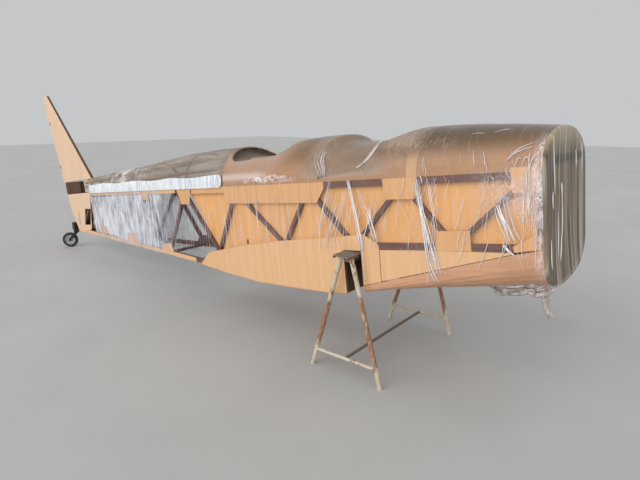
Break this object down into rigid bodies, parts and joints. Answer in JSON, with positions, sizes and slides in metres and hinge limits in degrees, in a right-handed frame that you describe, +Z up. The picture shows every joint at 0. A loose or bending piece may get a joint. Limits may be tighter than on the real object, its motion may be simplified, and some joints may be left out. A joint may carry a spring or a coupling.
{
  "type": "wooden glider fuselage with fin, under restoration, on a trestle and tail wheel",
  "caption": "Bare wooden glider fuselage with open truss sides, arched decks, cockpit openings and a raked fin, resting on a steel trestle and a swivelling tail wheel.",
  "frame": {"origin": "on the floor, under the middle of the whole object's box; the fuselage's centre plane is 22.5 mm to starboard of it", "axes": "+X towards the nose, +Y to port, +Z up from the floor"},
  "size_m": [5.8241, 1.051, 1.7708],
  "materials": {
    "stained_spruce": "dark stained spruce members, satin",
    "side_plywood": "orange-tan varnished plywood",
    "new_plywood": "pale bare plywood",
    "deck_plywood": "brown varnished plywood",
    "belly_plywood": "reddish brown varnished plywood",
    "fin_plywood": "pale pinkish plywood",
    "frame_spruce": "bare spruce",
    "dark_stained_wood": "dark brown wood",
    "worn_painted_steel": "worn light paint over rust",
    "rusty_steel": "dark rough steel",
    "black_steel": "black oily steel",
    "wheel_alloy": "dull cast alloy",
    "tyre_rubber": "black rubber"
  },
  "bodies": {
    "root": {"truss_fore_starboard": "stained_spruce", "truss_aft_starboard": "stained_spruce", "lining_starboard": "side_plywood", "band_starboard": "new_plywood", "gusset_upper_middle_starboard": "new_plywood", "gusset_upper_front_starboard": "new_plywood", "gusset_lower_front_starboard": "new_plywood", "gusset_upper_aft_starboard": "new_plywood", "gusset_nose_starboard": "new_plywood", "web_lower_starboard": "new_plywood", "web_slot_starboard": "new_plywood", "keel_panel_starboard": "new_plywood", "tail_panel_starboard": "fin_plywood", "truss_fore_port": "stained_spruce", "truss_aft_port": "stained_spruce", "lining_port": "side_plywood", "band_port": "new_plywood", "gusset_upper_middle_port": "new_plywood", "gusset_upper_front_port": "new_plywood", "gusset_lower_front_port": "new_plywood", "gusset_upper_aft_port": "new_plywood", "gusset_nose_port": "new_plywood", "web_lower_port": "new_plywood", "web_slot_port": "new_plywood", "keel_panel_port": "new_plywood", "tail_panel_port": "fin_plywood", "deck_front": "deck_plywood", "deck_middle": "deck_plywood", "deck_rear": "deck_plywood", "deck_strip": "new_plywood", "turtle_deck_frame": "frame_spruce", "belly_skin": "belly_plywood", "keel_floor": "belly_plywood", "wheel_bay": "dark_stained_wood", "cabin_floor": "side_plywood", "seat_front": "frame_spruce", "seat_rear": "frame_spruce", "nose_ring": "frame_spruce", "frame_panel": "frame_spruce", "frame_seat_front": "frame_spruce", "frame_seat_rear": "frame_spruce", "frame_turtle": "frame_spruce", "cross_member_1": "stained_spruce", "cross_member_2": "stained_spruce", "cross_member_3": "stained_spruce", "stern_post": "dark_stained_wood", "fin": "fin_plywood", "fin_leading_strip": "dark_stained_wood", "tailplane_spar": "dark_stained_wood", "trestle_end_starboard": "worn_painted_steel", "trestle_end_port": "worn_painted_steel", "trestle_stretcher": "rusty_steel", "trestle_beam": "rusty_steel", "tail_leaf": "black_steel", "swivel_head": "black_steel"},
    "caster": {"caster_fork": "black_steel"},
    "wheel": {"wheel_rim": "wheel_alloy", "wheel_tyre": "tyre_rubber"}
  },
  "joints": [
    {"name": "caster_swivel", "type": "hinge", "parent": "root", "child": "caster", "pos_m": [-2.484, -0.0225, 0.19], "axis": [0, 0, 1], "continuous": true},
    {"name": "wheel_spin", "type": "hinge", "parent": "caster", "child": "wheel", "pos_m": [-2.54057, -0.07907, 0.088], "axis": [-0.7071, 0.7071, 0], "continuous": true}
  ]
}
